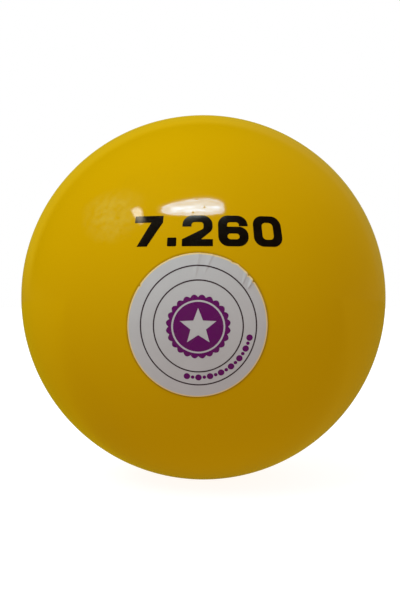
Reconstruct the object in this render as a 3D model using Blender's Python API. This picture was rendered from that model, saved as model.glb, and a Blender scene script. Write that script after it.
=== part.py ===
"""Shot put ball: a turned iron shell filled with lead, trimmed with lead pellets and closed by a screw plug.

The origin is the ball's centre. +Z runs up through the screw plug, and -Y is the front, where the label is.
Lengths are in metres and angles in degrees. Run it with: blender --background --python part.py
"""

import math

import bmesh
import bpy
from mathutils import Vector

# Ball: the turned outside and the hollow that holds the lead
BALL_DIAMETER = 0.120
CAVITY_DIAMETER = 0.072

# Gap left between pieces that seat on each other, and the softened edge on turned corners
CLEARANCE = 0.0003
EDGE_BREAK = 0.0003

# Screw plug: a fine thread, a head that ends flush with the ball, and a socket for a hexagon key
THREAD_DIAMETER = 0.022
THREAD_PITCH = 0.0015
SHANK_LENGTH = 0.0115
NECK_LENGTH = 0.0025
HEAD_OVERHANG = 0.003
HEAD_RIM_HEIGHT = 0.0065
KEY_SIZE = 0.012
SOCKET_DEPTH = 0.007
SOCKET_MOUTH_WIDTH = 0.0005
SOCKET_MOUTH_SLOPE = 30

# Sealing washer under the head, and felt wad under the thread
WASHER_THICKNESS = 0.001
WASHER_INSET = 0.0005
WAD_THICKNESS = 0.0032
WAD_EDGE_ROUND = 0.0006

# Trim pellets, and the lead left round the hole that holds them
PELLET_DIAMETER = 0.0045
PELLET_LAYERS = 2
TRIM_HOLE_WALL = 0.0025

# Label: an oval sheet wrapped on the ball, and where its middle is seen from the front
LABEL_WIDTH = 0.0388
LABEL_HEIGHT = 0.0406
LABEL_THICKNESS = 0.0002
LABEL_ELEVATION = -8.0
LABEL_AZIMUTH = -1.9

# Creases where the flat sheet would not lie on the round ball: clock angle from the label's top, height
# over the sheet, and how far out from the middle each one begins, as a share of the way to the edge
LABEL_CREASES = (
    (0, 0.00025, 0.50),
    (12, 0.00020, 0.60),
    (33, 0.00015, 0.80),
    (48, 0.00030, 0.70),
    (-55, 0.00012, 0.85),
)
CREASE_HALF_WIDTH = 6

# Fineness of the round surfaces
BALL_SEGMENTS = 64
PLUG_SEGMENTS = 40
BALL_STEP = 6
CAVITY_STEP = 12
DOME_STEP = 3
PELLET_SEGMENTS = 10
PELLET_RINGS = 8
LABEL_SEGMENTS = 72
LABEL_RINGS = 5
MERGE_DISTANCE = 1e-6
SHARP_ANGLE = 32

# Radii that follow from the driving dimensions
BALL_RADIUS = BALL_DIAMETER / 2
CAVITY_RADIUS = CAVITY_DIAMETER / 2
THREAD_RADIUS = THREAD_DIAMETER / 2
HEAD_RADIUS = THREAD_RADIUS + HEAD_OVERHANG
NECK_RADIUS = THREAD_RADIUS - 0.65 * THREAD_PITCH
BORE_RADIUS = THREAD_RADIUS + CLEARANCE
DRILL_RADIUS = THREAD_RADIUS - THREAD_PITCH / 2
COUNTERBORE_RADIUS = HEAD_RADIUS + CLEARANCE
CORE_RADIUS = CAVITY_RADIUS - CLEARANCE
RISER_RADIUS = DRILL_RADIUS - CLEARANCE
TRIM_HOLE_RADIUS = RISER_RADIUS - TRIM_HOLE_WALL
PELLET_RADIUS = PELLET_DIAMETER / 2
SOCKET_CORNER_RADIUS = KEY_SIZE / math.sqrt(3)
THREAD_CHAMFER = THREAD_PITCH / 2


def height_on_sphere(sphere_radius, distance_from_axis):
    """How high a sphere about the origin stands at a distance from the Z axis."""
    return math.sqrt(sphere_radius**2 - distance_from_axis**2)


# Heights on the axis, from the head down
HEAD_UNDERSIDE = height_on_sphere(BALL_RADIUS, HEAD_RADIUS) - HEAD_RIM_HEIGHT
WASHER_TOP = HEAD_UNDERSIDE - CLEARANCE
WASHER_BOTTOM = WASHER_TOP - WASHER_THICKNESS
HEAD_SEAT = WASHER_BOTTOM - CLEARANCE
SHANK_END = HEAD_UNDERSIDE - SHANK_LENGTH
TAPPED_END = SHANK_END - 2 * THREAD_PITCH
WAD_TOP = SHANK_END - CLEARANCE
WAD_BOTTOM = WAD_TOP - WAD_THICKNESS
LEAD_TOP = WAD_BOTTOM - CLEARANCE
SOCKET_FLOOR = BALL_RADIUS - SOCKET_DEPTH

# Finishes: colour as eight-bit red, green and blue, roughness, and metallic
FINISHES = {
    "yellow_enamel": ((205, 160, 4), 0.12, 0.0),
    "zinc_plate": ((172, 170, 160), 0.35, 1.0),
    "copper": ((188, 120, 88), 0.35, 1.0),
    "lead": ((112, 114, 118), 0.6, 1.0),
    "felt": ((96, 92, 86), 0.95, 0.0),
    "white_vinyl": ((182, 175, 172), 0.4, 0.0),
}


def linear(eight_bit):
    """An eight-bit colour channel as Blender's linear value."""
    share = eight_bit / 255
    if share <= 0.04045:
        return share / 12.92
    return ((share + 0.055) / 1.055) ** 2.4


def finish_material(name):
    """The material of one finish, made the first time it is asked for."""
    found = bpy.data.materials.get(name)
    if found:
        return found
    colour, roughness, metallic = FINISHES[name]
    material = bpy.data.materials.new(name)
    material.use_nodes = True
    shader = material.node_tree.nodes["Principled BSDF"]
    shader.inputs["Base Color"].default_value = (*(linear(c) for c in colour), 1)
    shader.inputs["Roughness"].default_value = roughness
    shader.inputs["Metallic"].default_value = metallic
    material.diffuse_color = (*(linear(c) for c in colour), 1)
    return material


def add_object(name, mesh, finish):
    """Put a mesh in the scene as a named piece with its finish."""
    mesh.shade_smooth()
    mesh.set_sharp_from_angle(angle=math.radians(SHARP_ANGLE))
    if not mesh.materials:
        mesh.materials.append(finish_material(finish))
    piece = bpy.data.objects.new(name, mesh)
    bpy.context.scene.collection.objects.link(piece)
    return piece


def arc(radius, start, end, step):
    """Profile points (distance from axis, height) on a circle about the origin, between two elevations."""
    count = math.ceil(abs(end - start) / step)
    points = []
    for index in range(count + 1):
        angle = math.radians(start + (end - start) * index / count)
        points.append((radius * math.cos(angle), radius * math.sin(angle)))
    return points


def elevation_on_sphere(sphere_radius, distance_from_axis):
    """The elevation of the sphere's point at a distance from the Z axis."""
    return math.degrees(math.acos(distance_from_axis / sphere_radius))


def turned(name, profile, segments, finish, origin_height=0, ring=False):
    """A solid turned about Z from profile points. A ring's profile closes on itself, off the axis."""
    bm = bmesh.new()
    points = [bm.verts.new((distance, 0, height - origin_height)) for distance, height in profile]
    edges = [bm.edges.new(pair) for pair in zip(points, points[1:])]
    if ring:
        edges.append(bm.edges.new((points[-1], points[0])))
    bmesh.ops.spin(
        bm,
        geom=points + edges,
        cent=(0, 0, 0),
        axis=(0, 0, 1),
        angle=math.tau,
        steps=segments,
        use_merge=True,
    )
    bmesh.ops.remove_doubles(bm, verts=bm.verts, dist=MERGE_DISTANCE)
    bmesh.ops.recalc_face_normals(bm, faces=bm.faces)
    mesh = bpy.data.meshes.new(name)
    bm.to_mesh(mesh)
    bm.free()
    piece = add_object(name, mesh, finish)
    piece.location.z = origin_height
    return piece


def make_shell():
    """The casting: turned outside, counterbore for the head, tapped hole, pouring hole and round cavity."""
    rim_distance = COUNTERBORE_RADIUS + EDGE_BREAK
    rim_elevation = elevation_on_sphere(BALL_RADIUS, rim_distance)
    rim_height = height_on_sphere(BALL_RADIUS, rim_distance)
    profile = arc(BALL_RADIUS, -90, rim_elevation, BALL_STEP)
    profile += [
        (COUNTERBORE_RADIUS, rim_height - EDGE_BREAK),
        (COUNTERBORE_RADIUS, HEAD_SEAT),
        (BORE_RADIUS + THREAD_CHAMFER, HEAD_SEAT),
        (BORE_RADIUS, HEAD_SEAT - THREAD_CHAMFER),
    ]
    # The tapped hole ends on a conical shoulder, and the narrower pouring hole goes on into the cavity
    shoulder_end = TAPPED_END - (BORE_RADIUS - DRILL_RADIUS)
    mouth_distance = DRILL_RADIUS
    if shoulder_end > height_on_sphere(CAVITY_RADIUS, DRILL_RADIUS):
        profile += [(BORE_RADIUS, TAPPED_END), (DRILL_RADIUS, shoulder_end)]
    else:
        # A thin wall leaves no room for the shoulder, and the tapped hole opens into the cavity
        mouth_distance = BORE_RADIUS
    mouth_elevation = elevation_on_sphere(CAVITY_RADIUS, mouth_distance)
    profile += arc(CAVITY_RADIUS, mouth_elevation, -90, CAVITY_STEP)
    return turned("shell", profile, BALL_SEGMENTS, "yellow_enamel")


def pellet_places():
    """Places of the pellets' centres over the trim hole's floor.

    Each layer is a ring of as many pellets as the hole takes, round one in the middle where there is room.
    A ring lies in the dips of the ring below, turned by half a step.
    """
    spacing = PELLET_DIAMETER + CLEARANCE
    ring_radius = TRIM_HOLE_RADIUS - CLEARANCE - PELLET_RADIUS
    ring_count = int(math.pi / math.asin(spacing / (2 * ring_radius)))
    half_step = math.pi / ring_count
    offset = 2 * ring_radius * math.sin(half_step / 2)
    rise = math.sqrt(spacing**2 - offset**2)
    lowest = CLEARANCE + PELLET_RADIUS
    places = []
    for layer in range(PELLET_LAYERS):
        if ring_radius >= spacing:
            places.append(Vector((0, 0, lowest + layer * spacing)))
        for index in range(ring_count):
            angle = (2 * index + layer) * half_step
            height = lowest + layer * rise
            places.append(Vector((ring_radius * math.cos(angle), ring_radius * math.sin(angle), height)))
    return places


def make_lead_core(trim_floor):
    """The lead casting: a ball with a riser in the pouring hole, and the flat bottomed trim hole."""
    shoulder = height_on_sphere(CORE_RADIUS, RISER_RADIUS)
    if LEAD_TOP > shoulder:
        profile = arc(CORE_RADIUS, -90, elevation_on_sphere(CORE_RADIUS, RISER_RADIUS), CAVITY_STEP)
        profile.append((RISER_RADIUS, LEAD_TOP))
    else:
        # The lead stops short of the pouring hole and ends in a flat
        profile = arc(CORE_RADIUS, -90, math.degrees(math.asin(LEAD_TOP / CORE_RADIUS)), CAVITY_STEP)
    profile += [
        (TRIM_HOLE_RADIUS, LEAD_TOP),
        (TRIM_HOLE_RADIUS, trim_floor),
        (0, trim_floor),
    ]
    return turned("lead_core", profile, BALL_SEGMENTS, "lead")


def make_pellets(places, trim_floor):
    """The lead pellets, each an object of its own on one shared mesh."""
    bm = bmesh.new()
    bmesh.ops.create_uvsphere(
        bm,
        u_segments=PELLET_SEGMENTS,
        v_segments=PELLET_RINGS,
        radius=PELLET_RADIUS,
    )
    mesh = bpy.data.meshes.new("trim_pellet")
    bm.to_mesh(mesh)
    bm.free()
    pellets = []
    for number, place in enumerate(places, start=1):
        pellet = add_object(f"trim_pellet_{number:02d}", mesh, "lead")
        pellet.location = place + Vector((0, 0, trim_floor))
        pellets.append(pellet)
    return pellets


def make_wad():
    """The felt disc between the pellets and the end of the plug, with soft round edges."""
    radius = RISER_RADIUS
    inner = radius - WAD_EDGE_ROUND
    soft = WAD_EDGE_ROUND * (1 - math.sqrt(0.5))
    profile = [
        (0, WAD_BOTTOM),
        (inner, WAD_BOTTOM),
        (radius - soft, WAD_BOTTOM + soft),
        (radius, WAD_BOTTOM + WAD_EDGE_ROUND),
        (radius, WAD_TOP - WAD_EDGE_ROUND),
        (radius - soft, WAD_TOP - soft),
        (inner, WAD_TOP),
        (0, WAD_TOP),
    ]
    return turned("packing_wad", profile, PLUG_SEGMENTS, "felt")


def make_washer():
    """The ring under the head. Its hole passes the plug's neck but not its thread, so it stays on the plug."""
    hole = NECK_RADIUS + CLEARANCE
    outside = HEAD_RADIUS - WASHER_INSET
    profile = [
        (hole, WASHER_TOP),
        (hole, WASHER_BOTTOM),
        (outside, WASHER_BOTTOM),
        (outside, WASHER_TOP),
    ]
    return turned("sealing_washer", profile, PLUG_SEGMENTS, "copper", HEAD_UNDERSIDE, ring=True)


def make_plug():
    """The plug: domed head, relieved neck, thread at its outside diameter and the key's socket."""
    slope = math.tan(math.radians(SOCKET_MOUTH_SLOPE))
    mouth_distance = SOCKET_CORNER_RADIUS + SOCKET_MOUTH_WIDTH
    mouth_height = height_on_sphere(BALL_RADIUS, mouth_distance)
    countersink_end = 0.45 * KEY_SIZE
    countersink_height = mouth_height - (mouth_distance - countersink_end) * slope
    rim_distance = HEAD_RADIUS - EDGE_BREAK
    rim_height = height_on_sphere(BALL_RADIUS, rim_distance)
    neck_end = HEAD_UNDERSIDE - NECK_LENGTH
    profile = [(0, countersink_height), (countersink_end, countersink_height)]
    profile += arc(
        BALL_RADIUS,
        elevation_on_sphere(BALL_RADIUS, mouth_distance),
        elevation_on_sphere(BALL_RADIUS, rim_distance),
        DOME_STEP,
    )
    profile += [
        (HEAD_RADIUS, rim_height - EDGE_BREAK),
        (HEAD_RADIUS, HEAD_UNDERSIDE),
        (NECK_RADIUS, HEAD_UNDERSIDE),
        (NECK_RADIUS, neck_end),
        (THREAD_RADIUS, neck_end - (THREAD_RADIUS - NECK_RADIUS)),
        (THREAD_RADIUS, SHANK_END + THREAD_CHAMFER),
        (THREAD_RADIUS - THREAD_CHAMFER, SHANK_END),
        (0, SHANK_END),
    ]
    plug = turned("screw_plug", profile, PLUG_SEGMENTS, "zinc_plate", HEAD_UNDERSIDE)
    cut_socket(plug)
    return plug


def cut_socket(plug):
    """Cut the hexagon socket with a six-sided bar that stands through the head's top."""
    length = 2 * SOCKET_DEPTH
    bm = bmesh.new()
    bmesh.ops.create_cone(
        bm,
        cap_ends=True,
        segments=6,
        radius1=SOCKET_CORNER_RADIUS,
        radius2=SOCKET_CORNER_RADIUS,
        depth=length,
    )
    mesh = bpy.data.meshes.new("socket_cutter")
    bm.to_mesh(mesh)
    bm.free()
    cutter = bpy.data.objects.new("socket_cutter", mesh)
    bpy.context.scene.collection.objects.link(cutter)
    cutter.hide_render = True
    cutter.display_type = "WIRE"
    cutter.parent = plug
    cutter.location.z = SOCKET_FLOOR + length / 2 - HEAD_UNDERSIDE
    cut = plug.modifiers.new("key_socket", "BOOLEAN")
    cut.operation = "DIFFERENCE"
    cut.solver = "EXACT"
    cut.object = cutter


def crease_lift(clock, share):
    """How far the label's creases lift it at a clock angle and a share of the way to its edge."""
    lift = 0
    for crease_clock, height, start in LABEL_CREASES:
        across = abs(clock - crease_clock) / CREASE_HALF_WIDTH
        along = (share - start) / (1 - start)
        if across < 1 and along > 0:
            lift += height * math.cos(math.pi / 2 * across) ** 2 * along
    return lift


def label_point(clock, share):
    """A point of the label's back, wrapped on the ball round -Y, with the label's top towards +Z."""
    half_width = LABEL_WIDTH / 2
    half_height = LABEL_HEIGHT / 2
    turn = math.radians(clock)
    edge = half_width * half_height / math.hypot(half_height * math.sin(turn), half_width * math.cos(turn))
    bend = share * edge / BALL_RADIUS
    outward = Vector((math.sin(bend) * math.sin(turn), -math.cos(bend), math.sin(bend) * math.cos(turn)))
    return outward * (BALL_RADIUS + CLEARANCE + crease_lift(clock, share))


def make_label():
    """The label: a thin sheet of rings of points, given its thickness outward."""
    bm = bmesh.new()
    middle = bm.verts.new(label_point(0, 0))
    rings = []
    for ring in range(1, LABEL_RINGS + 1):
        points = []
        for index in range(LABEL_SEGMENTS):
            clock = 360 * index / LABEL_SEGMENTS
            if clock > 180:
                clock -= 360
            points.append(bm.verts.new(label_point(clock, ring / LABEL_RINGS)))
        rings.append(points)
    for index in range(LABEL_SEGMENTS):
        following = (index + 1) % LABEL_SEGMENTS
        bm.faces.new((middle, rings[0][index], rings[0][following]))
        for inner, outer in zip(rings, rings[1:]):
            bm.faces.new((inner[index], outer[index], outer[following], inner[following]))
    for face in bm.faces:
        face.normal_update()
        if face.normal.dot(face.calc_center_median()) < 0:
            face.normal_flip()
    mesh = bpy.data.meshes.new("label")
    bm.to_mesh(mesh)
    bm.free()
    label = add_object("label", mesh, "white_vinyl")
    label.rotation_euler = (math.radians(-LABEL_ELEVATION), 0, math.radians(LABEL_AZIMUTH))
    sheet = label.modifiers.new("sheet_thickness", "SOLIDIFY")
    sheet.thickness = LABEL_THICKNESS
    sheet.offset = 1
    return label


def add_empty(name, height):
    """A guide on the Z axis that pieces hang from."""
    empty = bpy.data.objects.new(name, None)
    bpy.context.scene.collection.objects.link(empty)
    empty.empty_display_size = BALL_RADIUS / 4
    empty.location.z = height
    return empty


def hang_from(empty, piece):
    """Parent a piece to an empty and keep the piece where it is."""
    piece.location -= empty.location
    piece.parent = empty


def build():
    for leftover in list(bpy.data.objects):
        bpy.data.objects.remove(leftover)

    places = pellet_places()
    stack_height = max(place.z for place in places) + PELLET_RADIUS
    trim_floor = LEAD_TOP - stack_height

    ball = add_empty("ball_axis", 0)
    for piece in (make_shell(), make_lead_core(trim_floor), make_wad(), make_label()):
        hang_from(ball, piece)
    for pellet in make_pellets(places, trim_floor):
        hang_from(ball, pellet)

    # The washer slides with the plug, and the plug turns, on one axis
    plug_axis = add_empty("plug_axis", HEAD_UNDERSIDE)
    for piece in (make_washer(), make_plug()):
        hang_from(plug_axis, piece)


build()
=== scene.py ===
"""The looks of a shot put ball: glossy yellow enamel over an iron shell, a creased round label, plain
printed figures, and a plated filler plug on its copper washer.

Lengths are in metres and angles in degrees. -Y is the front, +Z runs up through the plug.
"""

import math

import bmesh
import bpy
from mathutils import Matrix, Vector, noise
from mathutils.geometry import tessellate_polygon


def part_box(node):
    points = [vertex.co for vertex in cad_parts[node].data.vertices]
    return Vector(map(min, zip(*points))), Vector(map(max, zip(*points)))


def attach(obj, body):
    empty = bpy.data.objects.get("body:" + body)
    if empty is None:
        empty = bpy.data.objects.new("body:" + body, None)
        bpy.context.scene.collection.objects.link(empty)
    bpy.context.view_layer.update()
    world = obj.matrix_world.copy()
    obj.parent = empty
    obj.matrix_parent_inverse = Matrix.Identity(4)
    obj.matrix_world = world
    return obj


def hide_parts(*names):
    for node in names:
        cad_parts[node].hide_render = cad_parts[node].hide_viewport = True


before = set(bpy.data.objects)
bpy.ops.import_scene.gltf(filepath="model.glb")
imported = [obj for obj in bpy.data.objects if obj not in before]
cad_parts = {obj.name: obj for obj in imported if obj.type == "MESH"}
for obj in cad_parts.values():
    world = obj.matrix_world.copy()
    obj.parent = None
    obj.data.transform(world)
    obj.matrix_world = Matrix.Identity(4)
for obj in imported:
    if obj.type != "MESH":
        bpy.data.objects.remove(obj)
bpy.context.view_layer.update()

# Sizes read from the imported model, so that each piece here fits its node there
PLUG_LOW, PLUG_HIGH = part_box("screw_plug")
WASHER_LOW, WASHER_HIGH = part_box("sealing_washer")
CORE_LOW, CORE_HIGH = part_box("lead_core")
WAD_LOW, WAD_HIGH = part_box("packing_wad")
PELLETS = sorted(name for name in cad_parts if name.startswith("trim_pellet"))
BALL_RADIUS = -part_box("shell")[0].z
HEAD_RADIUS = PLUG_HIGH.y
SHANK_END = PLUG_LOW.z
WASHER_RADIUS = WASHER_HIGH.y
CORE_RADIUS = -CORE_LOW.z

# Head, thread and socket of the plug, and the bore round it. In the bore the thread starts a little below
# the chamfer, and its grooves are a little wider
CLEARANCE = 0.0003
EDGE_BREAK = 0.0003
THREAD_RADIUS = 0.011
THREAD_PITCH = 0.0015
THREAD_DEPTH = 0.6134 * THREAD_PITCH
FLANK_ANGLE = 60
THREAD_START = 0.00005
THREAD_EASE = 0.0001
NECK_RADIUS = THREAD_RADIUS - 0.65 * THREAD_PITCH
NECK_LENGTH = 0.0025
BORE_RADIUS = THREAD_RADIUS + CLEARANCE
DRILL_RADIUS = THREAD_RADIUS - THREAD_PITCH / 2
COUNTERBORE_RADIUS = HEAD_RADIUS + CLEARANCE
HEAD_UNDERSIDE = WASHER_HIGH.z + CLEARANCE
HEAD_SEAT = WASHER_LOW.z - CLEARANCE
TAPPED_END = SHANK_END - 2 * THREAD_PITCH
CAVITY_RADIUS = CORE_RADIUS + CLEARANCE
KEY_SIZE = 0.012
COUNTERSINK = 0.0005
SOCKET_MOUTH = KEY_SIZE / math.sqrt(3) + COUNTERSINK
SOCKET_SLOPE = math.tan(math.radians(30))
SOCKET_FLOOR = 0.053
SOCKET_FLOOR_RINGS = (0, 0.002, 0.004, 0.0055)
SOCKET_FILLET = 0.00015

# The coat on the plug's head: how far down its side it goes, and how keys have worn it back at the socket
PAINT_THICKNESS = 0.00008
PAINT_SKIRT = 0.0016
WORN_BACK = 0.0008
WEAR = 0.0005

# The least that keeps two faces or two rings apart
HAIR = 0.00002

# Softened edges, the wall round the trim hole, the pellets' dents as a share of their radius, and how high
# the felt's bumps are and how many fit in a metre
ROLLED_EDGE = 0.0002
LEAD_EDGE = 0.0002
TRIM_WALL = 0.0025
PELLET_DENT = 0.03
FELT_EDGE = 0.0006
FELT_BUMPS = 0.0001
FELT_GRAIN = 900

# Label: its oval, where its middle is on the ball, how far it leans to the right, and how thick it is
LABEL_WIDTH = 0.0388
LABEL_HEIGHT = 0.0406
LABEL_ELEVATION = -7.97
LABEL_AZIMUTH = -1.87
LABEL_TILT = 11
LABEL_THICKNESS = 0.0002
LABEL_EDGE_ROUND = 0.00007
# Width of the band round the label's edge that wears the cream edge colour: the yellow seen through the cut
# edge, brightened as a painted highlight
LABEL_CUT_EDGE = 0.00040
# How far the painted shadow reaches out from the label's edge
PAINTED_SHADOW_WIDTH = 0.00075

# Creases in the label: ridges along a line between two places, right and up of its middle, each with its
# height and the widths of its left and right flanks, seen with the outer end up
LABEL_CREASES = (
    ((-0.00055, 0.0130), (0.00075, 0.0205), 0.00017, (0.0016, 0.0008)),
    ((0.0020, 0.0144), (0.00455, 0.0201), 0.00014, (0.0016, 0.0004)),
    ((0.0123, 0.0112), (0.0136, 0.0146), 0.00018, (0.0009, 0.0005)),
    ((0.0139, 0.0102), (0.0154, 0.0132), 0.00034, (0.0010, 0.0005)),
    ((0.0098, 0.0114), (0.0126, 0.0081), 0.00006, (0.0012, 0.0010)),
    ((-0.0150, 0.0109), (-0.0161, 0.0116), 0.00010, (0.0004, 0.0004)),
)
CREASE_FADE = 0.3

# Nicks in its edge: clock angle, half width in degrees and depth. Where the depth is negative it bulges
LABEL_NICKS = (
    (36.0, 22.0, -0.00024),
    (29.0, 1.5, 0.00020),
    (33.5, 2.2, -0.00016),
    (45.0, 1.1, 0.00040),
    (51.3, 1.3, 0.00034),
    (-54.5, 1.3, 0.00035),
)

# Print on the label: two ring lines, a scalloped seal with a star left bare in it, and a row of beads
PRINT_CENTRE = (0.00035, 0.00021)
INK_THICKNESS = 0.00003
RING_LINE = 0.00036
OUTER_RING = (0.0159, 0.0166)
INNER_RING = (0.0122, 0.01265)
SEAL_RADIUS = 0.0088
SEAL_SCALLOPS = 24
SCALLOP_DEPTH = 0.0007
SEAL_BAND = (0.0068, 0.0073)
STAR_RADIUS = 0.0052
STAR_NOTCH = 0.0022
BEAD_CLOCKS = (103, 193)
BEAD_COUNT = 15
BEAD_RADII = (0.0009, 0.0005)

# Printed figures: their height, the width of a digit, the stroke, the gaps, and their place on the ball
MARK_TEXT = "7.260"
MARK_HEIGHT = 0.0090
DIGIT_WIDTH = 0.0083
STROKE = 0.0025
DIGIT_GAP = 0.0015
DOT_ROUND = 0.0003
MARK_ELEVATION = 17.5
MARK_AZIMUTH = 1.1
MARK_THICKNESS = 0.00004

# Marks in the enamel: dust nibs by azimuth and elevation, and chips along the plug's seam
NIBS = ((-2.2, 26.5), (0.1, 24.3), (-3.1, 22.9))
NIB_RADIUS = 0.0004
CHIP_REACH = 0.0009
CHIP_HEIGHTS = (0.050, 0.051)

# Fineness
BALL_SEGMENTS = 192
PLUG_SEGMENTS = 144
INSIDE_SEGMENTS = 96
LABEL_SEGMENTS = 600
BALL_STEP = 1.5
HEAD_STEP = 0.7
INSIDE_STEP = 3
THREAD_ROWS = 12
ARC_STEPS = 10
PRINT_CELL = 0.0008
SHARP_ANGLE = 35
MERGE_DISTANCE = 1e-7

# Linear colours. A pair is a surface's own colour and the one that it takes on in patches
YELLOW = ((0.62, 0.36, 0.0002), (0.60, 0.342, 0.0002))
IRON = ((0.10, 0.095, 0.09), (0.17, 0.16, 0.15))
ZINC = ((0.62, 0.61, 0.56), (0.52, 0.49, 0.40))
COPPER = ((0.64, 0.27, 0.14), (0.42, 0.16, 0.08))
LEAD = ((0.20, 0.21, 0.225), (0.10, 0.10, 0.105))
FELT = ((0.117, 0.107, 0.093), (0.2, 0.19, 0.17))
PURPLE = ((0.128, 0.003, 0.122), (0.122, 0.009, 0.116))
RING_GREY = ((0.028, 0.014, 0.026), (0.05, 0.035, 0.048))
BLACK = ((0.0050, 0.0030, 0.0014), (0.008, 0.006, 0.004))
VINYL = (0.522, 0.527, 0.531)
# Cream of the label's cut edge: the yellow seen through it, and a painted highlight where the edge catches
# the light
EDGE_TINT_AND_HIGHLIGHT = (0.80, 0.62, 0.28)
# Painted shadow: the darker yellow of the line just outside the label's edge
PAINTED_SHADOW_COLOUR = (0.26, 0.15, 0.008)
INK_GLOSS = (1.0, 0.72, 0.46, 1)

# Depths of the surfaces' bump
PEEL_DEPTH = 0.000012
CAST_DEPTH = 0.00002
GROOVE_DEPTH = 0.000003
PIT_DEPTH = 0.00005
FIBRE_DEPTH = 0.0002
VINYL_DEPTH = 0.000008


def turn_of(angle):
    """The direction of a compass angle in degrees, counted anticlockwise from +X."""
    turn = math.radians(angle)
    return Vector((math.cos(turn), math.sin(turn), 0))


def ring_point(angle, distance, height):
    """The point at a compass angle, a distance from the Z axis and a height."""
    return turn_of(angle) * distance + Vector((0, 0, height))


def direction(azimuth, elevation):
    """The unit vector of an azimuth from the front towards +X, and an elevation."""
    level = math.cos(math.radians(elevation))
    turn = math.radians(azimuth)
    return Vector((level * math.sin(turn), -level * math.cos(turn), math.sin(math.radians(elevation))))


def at(distance, height):
    """A ring round the Z axis, as a function of the angle, or a point on the axis."""
    if distance == 0:
        return Vector((0, 0, height))
    return lambda angle: ring_point(angle, distance, height)


def on_sphere(radius, start, end, step):
    """Rings on a sphere about the origin between two elevations."""
    count = math.ceil(abs(end - start) / step)
    rows = []
    for index in range(count + 1):
        elevation = math.radians(start + (end - start) * index / count)
        distance = radius * math.cos(elevation)
        if distance < MERGE_DISTANCE:
            distance = 0
        rows.append(at(distance, radius * math.sin(elevation)))
    return rows


def height_on_sphere(radius, distance):
    return math.sqrt(radius**2 - distance**2)


def elevation_on_sphere(radius, distance):
    return math.degrees(math.acos(distance / radius))


def rounding(radius, bends):
    """How far in and how far down a rounded edge is at each bend, in degrees from the top to the side."""
    turns = [math.radians(bend) for bend in bends]
    return [(radius * (1 - math.sin(turn)), radius * (1 - math.cos(turn))) for turn in turns]


def loft(name, rows, segments, closed=False, second=()):
    """A mesh stretched over rows of points. A row is a function of the angle, or one point as a pole.

    The faces between a row whose number is in second and the next row wear the object's second material.
    """
    bm = bmesh.new()
    loops = []
    for row in rows:
        if callable(row):
            loops.append([bm.verts.new(row(360 * index / segments)) for index in range(segments)])
        else:
            loops.append([bm.verts.new(row)])
    pairs = list(zip(loops, loops[1:]))
    if closed:
        pairs.append((loops[-1], loops[0]))
    for number, (upper, lower) in enumerate(pairs):
        for index in range(segments):
            following = (index + 1) % segments
            down = [loop[index % len(loop)] for loop in (upper, lower)]
            back_up = [loop[following % len(loop)] for loop in (lower, upper)]
            # A pole comes up twice here, and is a corner once
            face = bm.faces.new(tuple(dict.fromkeys(down + back_up)))
            if number in second:
                face.material_index = 1
    return finished_mesh(name, bm)


def mesh_of(name, bm):
    """The bmesh as a mesh."""
    mesh = bpy.data.meshes.new(name)
    bm.to_mesh(mesh)
    bm.free()
    return mesh


def in_scene(name, data):
    """A new object in the scene with this mesh, lamp or camera."""
    thing = bpy.data.objects.new(name, data)
    bpy.context.scene.collection.objects.link(thing)
    return thing


def finished_mesh(name, bm):
    """The bmesh as a smooth shaded object in the scene, its faces pointing out."""
    bmesh.ops.recalc_face_normals(bm, faces=bm.faces)
    mesh = mesh_of(name, bm)
    mesh.shade_smooth()
    mesh.set_sharp_from_angle(angle=math.radians(SHARP_ANGLE))
    return in_scene(name, mesh)


def dress(piece, body, slot, *materials, replaces=None):
    """Give a piece its materials and its body, and hide the node that it stands for. The slot is not used.
    """
    for material in materials:
        piece.data.materials.append(material)
    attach(piece, body)
    if replaces:
        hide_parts(replaces)
    return piece


# Materials


def feed(tree, node, inputs):
    """Set a node's inputs. An input that is a socket is linked."""
    for key, value in inputs.items():
        if isinstance(value, bpy.types.NodeSocket):
            tree.links.new(value, node.inputs[key])
        else:
            node.inputs[key].default_value = value


def add_node(tree, kind, inputs=None, **settings):
    """A new node with its inputs and settings."""
    node = tree.nodes.new(kind)
    for name, value in settings.items():
        setattr(node, name, value)
    feed(tree, node, inputs or {})
    return node


def new_material(name):
    """An empty material: itself, its tree, its Principled node and the place on the object."""
    material = bpy.data.materials.new(name)
    material.use_nodes = True
    tree = material.node_tree
    place = tree.nodes.new("ShaderNodeTexCoord").outputs["Object"]
    return material, tree, tree.nodes["Principled BSDF"], place


def noise_at(tree, place, scale, detail=2.0, roughness=0.5):
    """Noise from 0 to 1, its scale in features per metre."""
    inputs = {"Vector": place, "Scale": scale, "Detail": detail, "Roughness": roughness}
    return add_node(tree, "ShaderNodeTexNoise", inputs).outputs["Fac"]


def ranged(tree, value, low, high, to_low=0.0, to_high=1.0):
    """A value mapped from one range to another, held at the ends."""
    inputs = {"Value": value, "From Min": low, "From Max": high, "To Min": to_low, "To Max": to_high}
    return add_node(tree, "ShaderNodeMapRange", inputs).outputs["Result"]


def patches(tree, place, scale, detail=2.0, roughness=0.5, spread=(0.3, 0.7), between=(0.0, 1.0)):
    """Noise whose middle spread is stretched to run between two values."""
    return ranged(tree, noise_at(tree, place, scale, detail, roughness), *spread, *between)


def mixed(tree, share, first, second):
    """Two colours mixed by a share from 0 to 1."""
    first_colour, second_colour, result = 6, 7, 2
    inputs = {"Factor": share}
    for place, colour in ((first_colour, first), (second_colour, second)):
        inputs[place] = colour if isinstance(colour, bpy.types.NodeSocket) else (*colour, 1)
    return add_node(tree, "ShaderNodeMix", inputs, data_type="RGBA").outputs[result]


def giving_way(tree, value, stretch, first, second):
    """Two colours, the first giving way to the second over a stretch of a value."""
    return mixed(tree, ranged(tree, value, *stretch), first, second)


def maths(tree, operation, first, *others):
    """Arithmetic on a value alone, or with each of the others in turn."""
    for other in others or (0.0,):
        first = add_node(tree, "ShaderNodeMath", {0: first, 1: other}, operation=operation).outputs[0]
    return first


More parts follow.
